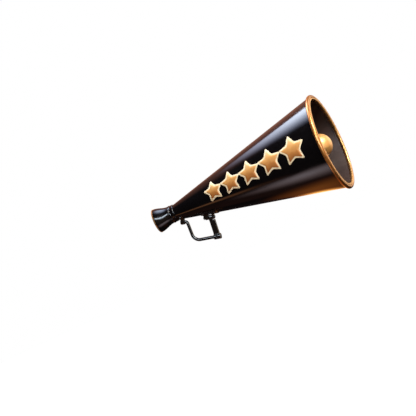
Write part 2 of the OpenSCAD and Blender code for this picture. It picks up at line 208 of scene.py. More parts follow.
class Shader:
    """A material's node tree, with short calls for the nodes that the looks use."""

    def __init__(self, name, color, roughness, metallic=0.0, **sockets):
        self.material = bpy.data.materials.new(name)
        self.material.use_nodes = True
        self.tree = self.material.node_tree
        self.bsdf = self.tree.nodes["Principled BSDF"]
        self.set("Base Color", (*color, 1))
        self.set("Roughness", roughness)
        self.set("Metallic", metallic)
        for socket, value in sockets.items():
            self.set(socket.replace("_", " "), value)
        self.place = self.node("ShaderNodeTexCoord").outputs["Object"]
        self.relief = None

    def set(self, socket, value):
        self.bsdf.inputs[socket].default_value = value

    def node(self, kind, inputs=(), **settings):
        return add_node(self.tree, kind, inputs, **settings)

    def math(self, operation, a, b=0.0):
        return self.node("ShaderNodeMath", {0: a, 1: b}, operation=operation).outputs[0]

    def stretched(self, scale):
        """The object's coordinates, scaled by axis."""
        return self.node("ShaderNodeMapping", {"Vector": self.place, "Scale": scale}).outputs[0]

    def turned(self):
        """Coordinates (x, radius, 0) round the horn's axis, for marks left by spinning."""
        parts = self.node("ShaderNodeSeparateXYZ", {0: self.place})
        square = [self.math("POWER", parts.outputs[k], 2.0) for k in ("Y", "Z")]
        radius = self.math("SQRT", self.math("ADD", *square))
        return self.node("ShaderNodeCombineXYZ", {"X": parts.outputs["X"], "Y": radius}).outputs[0]

    def noise(self, scale, detail=3.0, place=None, distortion=0.0):
        inputs = {
            "Vector": place or self.place, "Scale": scale,
            "Detail": detail, "Distortion": distortion,
        }
        return self.node("ShaderNodeTexNoise", inputs).outputs["Fac"]

    def spread(self, value, low, high, start=0.35, end=0.65):
        """Maps start..end of a value to low..high."""
        inputs = {"Value": value, "From Min": start, "From Max": end, "To Min": low, "To Max": high}
        return self.node("ShaderNodeMapRange", inputs).outputs["Result"]

    def mix(self, amount, a, b):
        """Goes from colour a to colour b. Each is three numbers or a node's output."""
        made = self.node("ShaderNodeMix", data_type="RGBA")
        for index, value in ((0, amount), (6, a), (7, b)):
            if isinstance(value, bpy.types.NodeSocket):
                self.tree.links.new(value, made.inputs[index])
            else:
                made.inputs[index].default_value = value if index == 0 else (*value, 1)
        return made.outputs[2]

    def ramp(self, value, stops):
        """A colour ramp through stops of (position, colour)."""
        made = self.node("ShaderNodeValToRGB", {"Fac": value})
        elements = made.color_ramp.elements
        while len(elements) < len(stops):
            elements.new(0.5)
        for element, (position, color) in zip(elements, stops):
            element.position = position
            element.color = (*color, 1)
        return made.outputs["Color"]

    def link(self, value, socket):
        self.tree.links.new(value, self.bsdf.inputs[socket])

    def bump(self, height, depth):
        """Adds relief, depth metres deep, to what the surface already has."""
        inputs = {"Height": height, "Distance": depth, "Strength": 1.0}
        if self.relief is not None:
            inputs["Normal"] = self.relief
        self.relief = self.node("ShaderNodeBump", inputs).outputs["Normal"]
        self.link(self.relief, "Normal")

    def edge(self, radius, low=0.02, high=0.25):
        """1 on edges sharper than radius, 0 on flat stretches."""
        rounded = self.node("ShaderNodeBevel", {"Radius": radius}, samples=4).outputs[0]
        plain = self.node("ShaderNodeNewGeometry").outputs["Normal"]
        dot = self.node("ShaderNodeVectorMath", {0: rounded, 1: plain}, operation="DOT_PRODUCT")
        return self.spread(self.math("SUBTRACT", 1.0, dot.outputs["Value"]), 0.0, 1.0, low, high)

    def hollow(self, distance):
        """1 in narrow hollows, 0 in the open."""
        open_sky = self.node("ShaderNodeAmbientOcclusion", {"Distance": distance}, samples=4)
        return self.spread(open_sky.outputs["AO"], 1.0, 0.0, 0.35, 0.95)


def gloss_black(name, roughness):
    """Moulded gloss plastic: faint orange peel, handling smears and fine scuffs."""
    black, dusty = (0.0026, 0.0023, 0.0029), (0.006, 0.0052, 0.0055)
    s = Shader(name, black, roughness, Coat_Weight=0.35, Coat_Roughness=0.06)
    smear = s.noise(24, 4.0, distortion=0.8)
    scuff = s.noise(1.0, 6.0, place=s.stretched((140, 900, 900)))
    rough = s.math("ADD", s.spread(smear, roughness * 0.8, roughness * 1.35),
                   s.spread(scuff, 0.0, 0.08, 0.62, 0.75))
    s.link(rough, "Roughness")
    dust = s.spread(s.noise(60, 5.0), 0.0, 0.5, 0.55, 0.8)
    s.link(s.mix(dust, black, dusty), "Base Color")
    s.bump(s.noise(420, 2.0), 0.010 * MM)
    s.bump(scuff, 0.004 * MM)
    return s.material


def satin_inside():
    """The horn's inside: a satin moulded skin that is warmer than the outside."""
    s = Shader("horn_inside", (0.046, 0.029, 0.027), 0.42, Specular_IOR_Level=0.2)
    cloud = s.spread(s.noise(30, 4.0), 0.0, 1.0)
    s.link(s.mix(cloud, (0.041, 0.026, 0.024), (0.056, 0.037, 0.033)), "Base Color")
    s.link(s.spread(s.noise(90, 4.0), 0.36, 0.47), "Roughness")
    s.bump(s.noise(1500, 2.0), 0.012 * MM)
    return s.material


def gold(name, bright, deep, roughness, metal, spun=True, coat=(0.7, 0.25, 1.5), dull=None):
    """Polished gold metal: spun lines round the axis, tarnish clouds and dark hollows. The coat
    is its weight, roughness and IOR. Where dull is given it is a colour and two distances from
    the axis, between which the metal changes to that colour, a painted shade."""
    s = Shader(name, bright, roughness, metallic=metal)
    for socket, value in zip(("Coat Weight", "Coat Roughness", "Coat IOR"), coat):
        s.set(socket, value)
    tarnish = s.spread(s.noise(38, 5.0, distortion=0.6), 0.0, 0.75, 0.4, 0.75)
    color = s.mix(tarnish, bright, deep)
    if dull:
        # painted shade: between the two distances the metal turns to dull's darker colour
        radius = s.node("ShaderNodeSeparateXYZ", {0: s.turned()}).outputs["Y"]
        color = s.mix(s.spread(radius, 0.0, 1.0, dull[1], dull[2]), color, dull[0])
    # darker brown and rougher in narrow hollows
    hollow_dark = s.math("MULTIPLY", s.hollow(1.6 * MM), 0.35)
    s.link(s.mix(hollow_dark, color, (0.20, 0.085, 0.025)), "Base Color")
    place = s.turned() if spun else s.stretched((1, 1, 1))
    lines = s.noise(1300, 2.0, place=place)
    rough = s.math("ADD", s.spread(s.noise(70, 4.0), roughness * 0.75, roughness * 1.3),
                   s.math("MULTIPLY", hollow_dark, 0.25))
    s.link(s.math("ADD", rough, s.spread(lines, -0.02, 0.04)), "Roughness")
    s.bump(lines, 0.0008 * MM)
    s.bump(s.noise(160, 2.0), 0.003 * MM)
    return s.material


def star_border_material():
    """Pale moulded plastic with a fine grain and slightly soiled edges."""
    s = Shader("star_border", (0.92, 0.80, 0.56), 0.42, Coat_Weight=0.25, Coat_Roughness=0.2)
    soil = s.math("MULTIPLY", s.hollow(1.5 * MM), s.spread(s.noise(300, 4.0), 0.25, 0.8))
    pale = s.mix(s.spread(s.noise(140, 3.0), 0.0, 1.0), (0.93, 0.82, 0.58), (0.86, 0.71, 0.45))
    s.link(s.mix(soil, pale, (0.42, 0.24, 0.09)), "Base Color")
    s.link(s.spread(s.noise(220, 3.0), 0.36, 0.5), "Roughness")
    s.bump(s.noise(1400, 2.0), 0.012 * MM)
    return s.material


def star_face_material():
    """Gold foil whose colour is painted shading: light at the top and orange brown at the bottom,
    as if lit from above.
    """
    s = Shader("star_face", (0.78, 0.45, 0.14), 0.4, metallic=0.35,
               Coat_Weight=0.3, Coat_Roughness=0.18)
    # painted shading: the colour ramp runs up the star, light at the top and dark at the bottom
    across = s.node("ShaderNodeTexCoord").outputs["Generated"]
    height = s.node("ShaderNodeSeparateXYZ", {0: across}).outputs["Z"]
    cloud = s.spread(s.noise(120, 4.0), -0.06, 0.06, 0.3, 0.7)
    level = s.math("ADD", height, cloud)
    color = s.ramp(level, [
        (0.0, (0.42, 0.135, 0.028)), (0.35, (0.60, 0.235, 0.055)),
        (0.68, (0.92, 0.48, 0.15)), (1.0, (1.0, 0.74, 0.38)),
    ])
    worn = s.math("MULTIPLY", s.edge(0.5 * MM), s.spread(s.noise(500, 4.0), 0.0, 0.7))
    s.link(s.mix(worn, color, (1.0, 0.80, 0.48)), "Base Color")
    s.link(s.spread(s.noise(260, 4.0), 0.32, 0.48), "Roughness")
    s.bump(s.noise(1.0, 4.0, place=s.stretched((500, 500, 2600))), 0.010 * MM)
    return s.material


def painted_black(name, color, roughness, grain):
    """Gloss enamel on metal, with a little bare metal on the sharpest edges."""
    s = Shader(name, color, roughness, Coat_Weight=1.0, Coat_Roughness=0.06)
    worn = s.spread(s.noise(700, 4.0), 0.0, 1.0, 0.6, 0.72)
    chips = s.math("MULTIPLY", s.edge(0.35 * MM, 0.08, 0.4), worn)
    s.link(s.mix(chips, color, (0.33, 0.32, 0.31)), "Base Color")
    s.link(chips, "Metallic")
    s.link(s.spread(s.noise(150, 4.0), roughness * 0.8, roughness * 1.4), "Roughness")
    s.bump(s.noise(700, 2.0), grain)
    return s.material


def spider_material():
    """Matte moulded plastic."""
    s = Shader("spider", (0.012, 0.011, 0.0115), 0.55)
    cloud = s.spread(s.noise(80, 4.0), 0.0, 1.0)
    s.link(s.mix(cloud, (0.010, 0.0095, 0.010), (0.021, 0.0185, 0.018)), "Base Color")
    s.link(s.spread(s.noise(200, 3.0), 0.48, 0.64), "Roughness")
    s.bump(s.noise(1800, 2.0), 0.02 * MM)
    return s.material


def steel():
    """Bright drawn steel with fine lines along its length and a few dull spots."""
    s = Shader("bright_steel", (0.44, 0.44, 0.45), 0.3, metallic=1.0)
    lines = s.noise(1.0, 4.0, place=s.stretched((300, 3200, 3200)))
    spots = s.spread(s.noise(420, 4.0), 0.0, 0.5, 0.55, 0.75)
    s.link(s.mix(spots, (0.46, 0.46, 0.47), (0.27, 0.25, 0.23)), "Base Color")
    s.link(s.spread(lines, 0.2, 0.38), "Roughness")
    s.bump(lines, 0.006 * MM)
    return s.material


SHELL_BLACK = gloss_black("gloss_black", 0.12)
CUP_BLACK = gloss_black("mouthpiece_black", 0.15)
INSIDE = satin_inside()
# the rim's outer roll takes a darker colour, a painted shade that keeps its highlight down; the lip
# stays bright
RIM_GOLD = gold("rim_gold", (0.97, 0.55, 0.19), (0.88, 0.43, 0.11), 0.30, 0.78,
                dull=((0.62, 0.25, 0.055), rim_hi.z - 7.2 * MM, rim_hi.z - 5.6 * MM))
BALL_GOLD = gold("ball_gold", (0.93, 0.50, 0.14), (0.86, 0.40, 0.08), 0.56, 0.62,
                 coat=(1.0, 0.4, 1.9))
NUT_BRASS = gold("nut_brass", (0.78, 0.55, 0.26), (0.58, 0.36, 0.14), 0.3, 1.0, spun=False)
BORDER = star_border_material()
FACE = star_face_material()
BRACKET_BLACK = painted_black("bracket_black", (0.004, 0.0038, 0.0042), 0.22, 0.008 * MM)
HANDLE_BLACK = painted_black("handle_black", (0.004, 0.004, 0.0052), 0.14, 0.002 * MM)
SPIDER_BLACK = spider_material()
STEEL = steel()


def finish_piece(obj, materials, body, slot, *nodes):
    """Gives a piece its materials, its body and the CAD nodes it stands for. Its slot is not used.
    """
    obj.data.materials.clear()
    for material in materials:
        obj.data.materials.append(material)
    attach(obj, body)
    if nodes:
        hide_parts(*nodes)


# ------------------------------------------------------------------------------- horn

def make_horn():
    """A thin cone with eased ends. Its inside faces take the satin material."""
    steps = 48
    lip = WALL / 2
    outside = [SHELL_BACK + (SHELL_FRONT - SHELL_BACK) * i / steps for i in range(steps + 1)]
    outline = [(shell_r(x), x) for x in outside]
    outline[-1] = (shell_r(SHELL_FRONT - lip), SHELL_FRONT - lip)
    front = (shell_r(SHELL_FRONT) - lip, SHELL_FRONT - lip)
    outline += arc(front, lip, 0, 180, 8)[1:-1]
    outline += [(shell_r(x) - WALL, x) for x in reversed(outside)]
    horn = lathe("horn_shell_detail", outline)
    finish_piece(horn, [SHELL_BLACK, INSIDE], "horn", "gloss_black", "horn_shell")
    for face in horn.data.polygons:
        c = face.center
        if math.hypot(c.y, c.z) < shell_r(c.x) - WALL / 2:
            face.material_index = 1


def make_rim():
    """Two rolls with a groove between them, flat in the bell's plane."""
    roll_r, lip_r, apart = 4.2 * MM, 2.0 * MM, 4.0 * MM
    # how far each roll would stand past the bell's plane, where it is cut flat
    roll_cut, lip_cut = 0.2 * MM, 0.15 * MM
    roll = (rim_hi.z - roll_r, rim_hi.x + roll_cut - roll_r)
    lip = (roll[0] - apart, rim_hi.x + lip_cut - lip_r)
    # at the front, both arcs end where the two rolls meet
    points = arc(roll, roll_r, -105, 125.5, 64) + arc(lip, lip_r, 39.5, 262, 36)
    points = [(r, min(x, rim_hi.x)) for r, x in points]
    rim = lathe("bell_rim_detail", points, 320, 50)
    finish_piece(rim, [RIM_GOLD], "horn", "rim_gold", "bell_rim")


def make_mouthpiece():
    """A turned cup: a sleeve over the shell, a waist, and a flared lip with a straight throat."""
    throat_r, cup_r = 11 * MM, cup_hi.z
    bore_len, flare_short, lip_w, sleeve_t = 16 * MM, 6 * MM, 4.5 * MM, 1.6 * MM
    bore_back = SHELL_BACK - bore_len
    flare_end = SHELL_BACK - flare_short
    sleeve_front, lip_x = cup_hi.x, cup_lo.x
    sleeve_r = shell_r(sleeve_front) + sleeve_t
    inner_r = cup_r - lip_w
    steps = 32
    outline = [(throat_r, SHELL_BACK), (throat_r, bore_back)]
    outline += [
        (throat_r + (inner_r - throat_r) * ease(i / steps),
         bore_back + (lip_x - bore_back) * i / steps)
        for i in range(1, steps + 1)
    ]
    outline += [
        (cup_r - (cup_r - sleeve_r) * ease(i / steps), lip_x + (flare_end - lip_x) * i / steps)
        for i in range(steps + 1)
    ]
    # a turned bead and a groove mark where the cup ends and the sleeve starts
    bead_x, bead_r, bead_sink = SHELL_BACK - 3.4 * MM, 0.9 * MM, 0.2 * MM
    rim_half, floor_half, depth = 2.0 * MM, 1.5 * MM, 0.35 * MM
    outline += [(sleeve_r, bead_x - rim_half), (sleeve_r - depth, bead_x - floor_half)]
    outline += arc((sleeve_r - bead_sink, bead_x), bead_r, -80, 80, 10)
    outline += [(sleeve_r - depth, bead_x + floor_half), (sleeve_r, bead_x + rim_half)]
    edge = 0.8 * MM
    outline += arc((sleeve_r - edge, sleeve_front - edge), edge, 0, 90, 6)
    outline += [(shell_r(sleeve_front), sleeve_front), (shell_r(SHELL_BACK), SHELL_BACK)]
    cup = lathe("mouthpiece_detail", outline, 192, 35)
    finish_piece(cup, [CUP_BLACK], "horn", "mouthpiece_black", "mouthpiece")


def make_mouth_ring():
    """A half-round gold bead on the cup's lip, with a tongue behind it."""
    inner_r, tongue = cup_hi.z - 5.1 * MM, 0.6 * MM
    mid = (ring_hi.z + inner_r) / 2
    bead = arc((mid, cup_lo.x), ring_hi.z - mid, 0, -180, 24)
    bead += [(mid - tongue, cup_lo.x), (mid - tongue, ring_hi.x)]
    bead += [(mid + tongue, ring_hi.x), (mid + tongue, cup_lo.x)]
    ring = lathe("mouth_ring_detail", bead, 192, 50)
    finish_piece(ring, [RIM_GOLD], "horn", "rim_gold", "mouth_ring")


# ------------------------------------------------------------------------------ stars

STAR_COUNT = 5
STAR_WAIST = 0.54                       # notch radius over tip radius
STAR_STEP = math.radians(36)            # from a tip to the next notch
NOTCH_BLUNT = 0.8                       # rounding of a notch over that of a tip
ROW_TURN = math.radians(11)             # how far the row is turned up round the horn
ROW_BACK = 35 * MM                      # from the bell's plane to the row
STAR_GAP = 2 * MM
FIRST_STAR_W, STAR_GROWTH = 37 * MM, 4 * MM
BORDER_W = 3.2 * MM
FACE_BASE = 0.65 * MM                   # where a face starts above the horn

# The plates' edges as (distance in from the edge, height) in mm
BORDER_EDGE = [(0, 0.22), (0.12, 0.46), (0.35, 0.62), (0.7, 0.7), (2.8, 0.7), (3.2, 0.62)]
FACE_EDGE = [(0, 0.2), (0.1, 0.42), (0.28, 0.62), (0.55, 0.76), (0.95, 0.86)]
FACE_RISE = 0.14 * MM                   # from the end of that edge to the face's middle


def star_outline(tip, blunt, rounds=7):
    """A star's outline with rounded tips and notches, as points round its centre."""
    edge_parts = 6
    corners = []
    for i in range(10):
        r = tip if i % 2 == 0 else tip * STAR_WAIST
        a = math.pi / 2 + STAR_STEP * i
        corners.append(Vector((r * math.cos(a), r * math.sin(a))))
    points = []
    for i, corner in enumerate(corners):
        before = (corners[i - 1] - corner).normalized()
        after = (corners[(i + 1) % 10] - corner).normalized()
        cut = blunt if i % 2 == 0 else blunt * NOTCH_BLUNT
        start, end = corner + cut * before, corner + cut * after
        for k in range(rounds + 1):
            t = k / rounds
            points.append((1 - t) ** 2 * start + 2 * t * (1 - t) * corner + t * t * end)
        next_cut = blunt * (NOTCH_BLUNT if i % 2 == 0 else 1.0)
        along = corners[(i + 1) % 10] - after * next_cut - end
        points += [end + along * k / edge_parts for k in range(1, edge_parts)]
    return points


def wrap(point, x, height):
    """Puts a point of a star's outline on the horn, height above its surface."""
    px = x + point.x
    r = shell_r(px) + height
    y = -math.sqrt(max(r * r - point.y * point.y, 0))
    turned = Matrix.Rotation(-ROW_TURN, 2) @ Vector((y, point.y))
    return Vector((px, turned.x, turned.y))


def star_plate(name, outline, reach, x, base, profile):
    """A plate on the horn. Its profile is a list of (distance in from the edge, height), and
    reach is how far the outline's straight edges stand from its centre."""
    n = len(outline)
    rows = [[wrap(p * scale, x, base) for p in outline] for scale in (0.5, 1)]
    for inset, height in profile:
        rows.append([wrap(p * (1 - inset / reach), x, base + height) for p in outline])
    verts = [v for row in rows for v in row]
    faces = grid_faces(len(rows), n)
    centre = len(verts)
    verts += [wrap(Vector((0, 0)), x, base), wrap(Vector((0, 0)), x, base + profile[-1][1])]
    top = (len(rows) - 1) * n
    faces += [(centre, (i + 1) % n, i) for i in range(n)]
    faces += [(centre + 1, top + i, top + (i + 1) % n) for i in range(n)]
    return mesh_object(name, verts, faces, 50)


def make_stars():
    """A row of stars that grow towards the bell, each a pale border and a gold face."""
    # how far a star's straight edges stand from its centre, per unit of tip radius
    edge = math.sqrt(1 + STAR_WAIST ** 2 - 2 * STAR_WAIST * math.cos(STAR_STEP))
    reach_ratio = STAR_WAIST * math.sin(STAR_STEP) / edge
    widths = [FIRST_STAR_W + STAR_GROWTH * i for i in range(STAR_COUNT)]
    row_len = sum(widths) + STAR_GAP * (STAR_COUNT - 1)
    starts = [0, *accumulate(w + STAR_GAP for w in widths)]
    for i, width in enumerate(widths):
        x = -ROW_BACK - row_len + starts[i] + width / 2
        outer_tip = width / 2 / math.sin(2 * STAR_STEP)
        inner_tip = outer_tip - BORDER_W
        grown = inner_tip + BORDER_W / reach_ratio
        reach = grown * reach_ratio
        border = star_outline(grown, (grown - outer_tip) * 1.25)
        profile = [(a * MM, b * MM) for a, b in BORDER_EDGE] + [(reach * 0.7, 0.55 * MM)]
        plate = star_plate(f"star_border_{i + 1}_detail", border, reach, x, FIT_GAP, profile)
        finish_piece(plate, [BORDER], "horn", "star_cream", f"star_border_{i + 1}")
        reach = inner_tip * reach_ratio
        face = star_outline(inner_tip, inner_tip * 0.06)
        profile = [(a * MM, b * MM) for a, b in FACE_EDGE]
        inset, height = profile[-1]
        profile += [
            (inset + (reach - inset) * t, height + FACE_RISE * t) for t in (0.25, 0.5, 0.75, 0.93)
        ]
        plate = star_plate(f"star_face_{i + 1}_detail", face, reach, x, FACE_BASE, profile)
        finish_piece(plate, [FACE], "horn", "star_gold", f"star_face_{i + 1}")


# ---------------------------------------------------------------------- ball and stem

def make_ball():
    """Two spun half shells that meet in a fine groove, the rear one with a hole for its boss."""
    wall, groove, boss_r = 1.0 * MM, 0.12 * MM, 5 * MM
    groove_half = 0.4                   # in degrees
    lip_gap, lip_t, lip_len = 0.1 * MM, 1.1 * MM, 2 * MM
    centre, inner = (0, BALL_X), BALL_R - wall
    hole = math.degrees(math.acos((boss_r + FIT_GAP) / BALL_R))
    front = arc(centre, BALL_R, groove_half, 90, 48)
    front[0] = (BALL_R - groove, BALL_X)
    front += arc(centre, inner, 90, 0, 32)
    half = lathe("ball_front_detail", [(max(r, 1e-6), x) for r, x in front], 192, 60)
    finish_piece(half, [BALL_GOLD], "horn", "ball_gold", "ball_front_shell")
    rear = arc(centre, BALL_R, -groove_half, -hole, 48)
    rear[0] = (BALL_R - groove, BALL_X)
    rear += arc(centre, inner, -hole, 0, 32)
    rear += [(inner - lip_gap, BALL_X + lip_len), (inner - lip_t, BALL_X + lip_len)]
    rear += [(inner - lip_t, BALL_X)]
    half = lathe("ball_rear_detail", rear, 192, 60)
    finish_piece(half, [BALL_GOLD], "horn", "ball_gold", "ball_rear_shell")


def make_stem():
    """A threaded rod: its radius follows a helix of one turn per pitch."""
    radius, pitch, depth, end_taper = stem_hi.z, 1.0 * MM, 0.5 * MM, 0.3 * MM
    sides, per_turn = 32, 8
    rows = round((stem_hi.x - stem_lo.x) / pitch * per_turn)
    verts = []
    for j in range(rows + 1):
        x = stem_lo.x + (stem_hi.x - stem_lo.x) * j / rows
        fade = min(1, j / per_turn, (rows - j) / per_turn)
        for k in range(sides):
            phase = (x / pitch + k / sides) % 1
            r = radius - depth * fade * abs(2 * phase - 1) - end_taper * (1 - fade)
            verts.append((x, r * math.cos(TAU * k / sides), r * math.sin(TAU * k / sides)))
    faces = grid_faces(rows + 1, sides) + cap_faces(rows + 1, sides)
    stem = mesh_object("stem_detail", verts, faces, 80)
    finish_piece(stem, [STEEL], "horn", "bright_steel", "stem")


def make_spider():
    """A hub and a band with eased edges, joined by arms that flare where they meet them."""
    hub_r, ease_r, bevel, band_t = 9 * MM, 1.2 * MM, 0.4 * MM, 2.35 * MM
    back, front = spider_lo.x, spider_hi.x
    hub = arc((hub_r - ease_r, front - ease_r), ease_r, 0, 90, 8)
    hub += [(STEM_BORE + bevel, front), (STEM_BORE, front - bevel)]
    hub += [(STEM_BORE, back + bevel), (STEM_BORE + bevel, back)]
    hub += arc((hub_r - ease_r, back + ease_r), ease_r, -90, 0, 8)

    def outer(x):
        """The band's outside radius, just inside the shell."""
        return shell_r(x) - WALL - FIT_GAP

    nose = band_t / 2
    band = [(outer(back + nose), back + nose), (outer(front - nose), front - nose)]
    band += arc((outer(front - nose) - nose, front - nose), nose, 0, 180, 10)
    band += arc((outer(back + nose) - nose, back + nose), nose, 180, 360, 10)
    parts = [lathe("spider_detail", hub, 96, 50), lathe("spider_band", band, 192, 50)]
    arms, stations, sides = 3, 28, 20
    mid = (front + back) / 2
    start, end = hub_r - 1 * MM, outer(mid) - 0.6 * MM
    for a in range(arms):
        turn = Matrix.Rotation(TAU * a / arms, 4, "X")
        verts = []
        for j in range(stations + 1):
            t = j / stations
            z = start + (end - start) * t
            flare = max(0, 1 - t * 6) ** 2 + max(0, 1 - (1 - t) * 7) ** 2
            half_t = 1.5 * MM * (1 + 0.9 * flare)
            half_w = (front - back) / 2 - 1.6 * MM + 0.6 * MM * flare
            for k in range(sides):
                c, s = math.cos(TAU * k / sides), math.sin(TAU * k / sides)
                # a squared ellipse: flat sides and round edges
                x = mid + half_w * math.copysign(abs(c) ** 0.5, c)
                y = half_t * math.copysign(abs(s) ** 0.8, s)
                verts.append(turn @ Vector((x, y, z)))
        faces = grid_faces(stations + 1, sides) + cap_faces(stations + 1, sides)
        parts.append(mesh_object(f"spider_arm_{a}", verts, faces, 50))
    spider = join(parts)
    finish_piece(spider, [SPIDER_BLACK], "horn", "spider_black", "spider")


def join(parts):
    """Joins meshes into the first object."""
    bm = bmesh.new()
    for part in parts:
        bm.from_mesh(part.data)
    bm.to_mesh(parts[0].data)
    bm.free()
    for part in parts[1:]:
        bpy.data.objects.remove(part)
    return parts[0]


def make_nuts():
    """Chamfered hexagon nuts on the stem, where the CAD model has its three."""
    across_flats, thickness, washer, bevel = 10 * MM, 5 * MM, 1 * MM, 0.45 * MM
    boss_back = BALL_X - BALL_R - 1.4 * MM
    backs = (
        spider_lo.x - washer - thickness - FIT_GAP, spider_hi.x + washer + FIT_GAP,
        boss_back - thickness - FIT_GAP,
    )
    turns = 96
    hexagon = [
        across_flats / 2 / math.cos((TAU * k / turns + TAU / 12) % (TAU / 6) - TAU / 12)
        for k in range(turns)
    ]
    levels = [level * MM for level in (0, 0.45, 0.9, 2.5, 4.1, 4.55, 5)]
    parts = []
    for index, back in enumerate(backs):
        rows = []
        for level in levels:
            # the corners are cut to a cone near each end
            cut_r = across_flats / 2 * 0.985 + min(level, thickness - level) * 1.7
            rows.append((back + level, [min(r, cut_r) for r in hexagon]))
        front = back + thickness
        for x, r in ((front, STEM_BORE + bevel), (front - bevel, STEM_BORE),
                     (back + bevel, STEM_BORE), (back, STEM_BORE + bevel)):
            rows.append((x, [r] * turns))
        verts = [
            (x, -r * math.cos(TAU * k / turns), r * math.sin(TAU * k / turns))
            for x, radii in rows for k, r in enumerate(radii)
        ]
        name = "stem_nuts_detail" if index == 0 else f"nut_{index}"
        parts.append(mesh_object(name, verts, grid_faces(len(rows), turns, closed=True), 25))
    finish_piece(join(parts), [NUT_BRASS], "horn", "nut_brass", "stem_nuts")


# ----------------------------------------------------------------------------- handle

LEG_X = -330 * MM                       # where the underside's frame has its origin
HINGE_Z = -6.5 * MM                     # the hinge's axis in that frame
LOOP_DEPTH = 46.5 * MM                  # from the underside to the middle of the grip
WIRE_R = 3.25 * MM
LEG_LEAN = math.radians(10)
UNDERSIDE = Matrix.Translation((LEG_X, 0, -shell_r(LEG_X))) @ Matrix.Rotation(HORN_ANGLE, 4, "Y")


def bend(start, heading, radius, angle, steps):
    """Points of a bend in the XZ plane that turns the heading by angle, after its start."""
    side = 1 if angle > 0 else -1
    normal = Vector((-math.sin(heading), 0, math.cos(heading))) * side
    centre = start + normal * radius
    points = []
    for i in range(1, steps + 1):
        a = heading + angle * i / steps
        out = Vector((-math.sin(a), 0, math.cos(a))) * side
        points.append(centre - out * radius)
    return points


def make_wire():
    """One wire: a thin pintle, a tight bend, the rear leg, a wide bend and the grip."""
    pintle_back, bend_start, wire_end = -15.5 * MM, -6.5 * MM, 55 * MM
    pintle_r, tight, wide = 2.5 * MM, 5 * MM, 15 * MM
    turn = math.pi / 2 - LEG_LEAN
    path = [Vector((pintle_back, 0, HINGE_Z)), Vector((pintle_back + 0.5 * MM, 0, HINGE_Z))]
    radii = [pintle_r - 0.5 * MM, pintle_r]
    shoulder = [
        (bend_start - 0.6 * MM, pintle_r), (bend_start - 0.2 * MM, WIRE_R - 0.4 * MM),
        (bend_start, WIRE_R),
    ]
    for x, r in shoulder:
        path.append(Vector((x, 0, HINGE_Z)))
        radii.append(r)
    first = bend(path[-1], 0, tight, -turn, 20)
    path += first
    leg_dir = Vector((math.cos(-turn), 0, math.sin(-turn)))
    foot_z = -LOOP_DEPTH + wide * (1 - math.cos(turn))
    leg_len = (first[-1].z - foot_z) / math.cos(LEG_LEAN)
    path += [first[-1] + leg_dir * leg_len * i / 6 for i in range(1, 7)]
    path += bend(path[-1], -turn, wide, turn, 28)
    grip_start = path[-1]
    path += [grip_start + Vector(((wire_end - grip_start.x) * i / 8, 0, 0)) for i in range(1, 9)]
    radii += [WIRE_R] * (len(path) - len(radii))
    wire = tube("handle_wire_detail", [UNDERSIDE @ p for p in path], radii, 40)
    finish_piece(wire, [HANDLE_BLACK], "handle", "handle_black", "handle_wire")


def make_castings():
    """The arm and the two brackets are the CAD shapes with their edges blended."""
    arm = cast("handle_arm_detail", "handle_arm", 0.4 * MM, 6)
    finish_piece(arm, [HANDLE_BLACK], "handle", "handle_black", "handle_arm")
    for node in ("front_bracket", "rear_bracket"):
        bracket = cast(f"{node}_detail", node, 0.3 * MM, 3)
        finish_piece(bracket, [BRACKET_BLACK], "horn", "bracket_black", node)


def dress_small_parts():
    """The small CAD parts keep their shapes and get a material."""
    dress = {
        "hub_washers": STEEL, "front_rivet_washers": STEEL, "rear_rivet_washers": STEEL,
        "hinge_pin": BRACKET_BLACK, "pin_clip": BRACKET_BLACK, "front_rivets": BRACKET_BLACK,
        "rear_rivets": BRACKET_BLACK, "arm_pin": HANDLE_BLACK, "wire_clip": HANDLE_BLACK,
        "ball_boss": NUT_BRASS,
    }
    for node, material in dress.items():
        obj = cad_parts[node]
        if not obj.material_slots:
            obj.data.materials.append(material)
        for slot in obj.material_slots:
            slot.material = material


make_horn()
make_rim()
make_mouthpiece()
make_mouth_ring()
make_stars()
make_ball()
make_stem()
make_spider()
make_nuts()
make_wire()
make_castings()
dress_small_parts()


# ----------------------------------------------------------------- camera and studio

AZIMUTH, ROLL = math.radians(14.3), math.radians(24.59)
AIM = Vector((-283.4, 0, -18.4)) * MM
DISTANCE = 6.85                         # from the camera to what it looks at
SOFT_WHITE = (1.0, 0.95, 0.88)


def make_camera():
    """A long lens, level, at the horn's side and a little in front, rolled so that the bell
    is high."""
    data = bpy.data.cameras.new("camera")
    data.lens, data.sensor_width = 300, 36
    data.clip_start, data.clip_end = 0.1, 100
    camera = bpy.data.objects.new("camera", data)
    bpy.context.collection.objects.link(camera)
    back = Vector((math.sin(AZIMUTH), -math.cos(AZIMUTH), 0))
    right = Vector((math.cos(AZIMUTH), math.sin(AZIMUTH), 0))
    up = Vector((0, 0, 1))
    tilted_right = right * math.cos(ROLL) - up * math.sin(ROLL)
    tilted_up = right * math.sin(ROLL) + up * math.cos(ROLL)
    turn = Matrix((tilted_right, tilted_up, back)).transposed().to_4x4()
    camera.matrix_world = Matrix.Translation(AIM + back * DISTANCE) @ turn
    bpy.context.scene.camera = camera


def softbox(name, place, target, size, power, color, roll=0.0):
    """An area light that the camera can't see, rolled in its own plane by roll degrees."""
    data = bpy.data.lights.new(name, "AREA")
    data.shape = "RECTANGLE"
    data.size, data.size_y = size
    data.energy = power
    data.color = color
    light = bpy.data.objects.new(name, data)
    bpy.context.collection.objects.link(light)
    place = Vector(place)
    light.location = place
    aim = (place - Vector(target)).to_track_quat("Z", "Y")
    light.rotation_euler = (aim @ Quaternion((0, 0, 1), math.radians(roll))).to_euler()
    light.visible_camera = False
    return light


